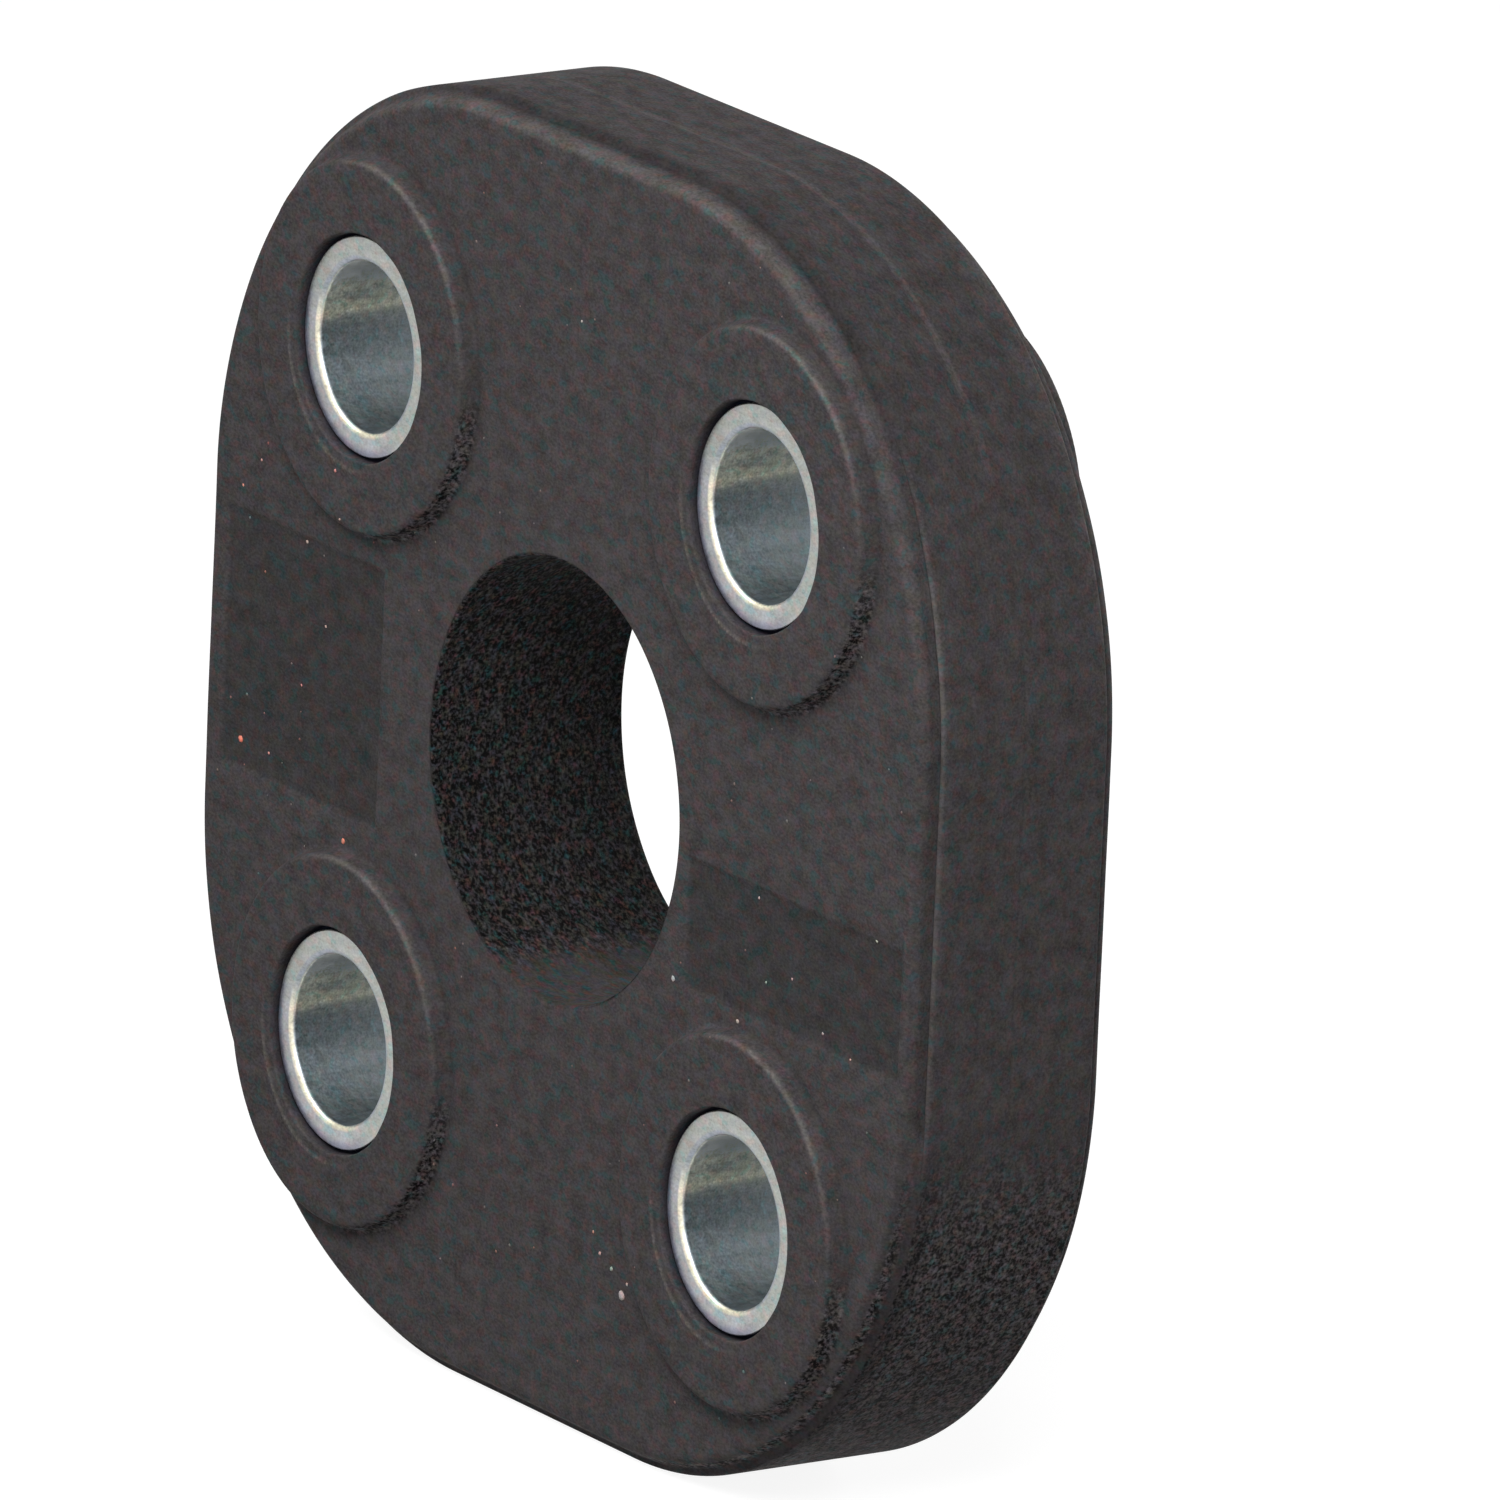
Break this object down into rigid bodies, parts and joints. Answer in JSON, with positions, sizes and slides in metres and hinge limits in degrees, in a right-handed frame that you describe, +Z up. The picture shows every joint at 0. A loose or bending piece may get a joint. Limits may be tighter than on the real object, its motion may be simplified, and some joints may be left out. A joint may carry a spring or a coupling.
{
  "type": "steering coupling",
  "caption": "Flexible rubber joint disc with a central hole and steel sleeves on a square pattern, for joining two steering shaft flanges.",
  "frame": {"origin": "middle of the bottom flat, on the surface that the disc stands on", "axes": "+X across the disc, +Y from the front face to the back face along the shaft line, +Z up"},
  "size_m": [0.0778, 0.0156, 0.0777],
  "materials": {
    "rubber": "matt moulded rubber",
    "zinc_plated_steel": "satin zinc plating"
  },
  "bodies": {
    "root": {"rubber_body": "rubber", "sleeve_top_left": "zinc_plated_steel", "sleeve_top_right": "zinc_plated_steel", "sleeve_bottom_left": "zinc_plated_steel", "sleeve_bottom_right": "zinc_plated_steel"}
  },
  "joints": []
}
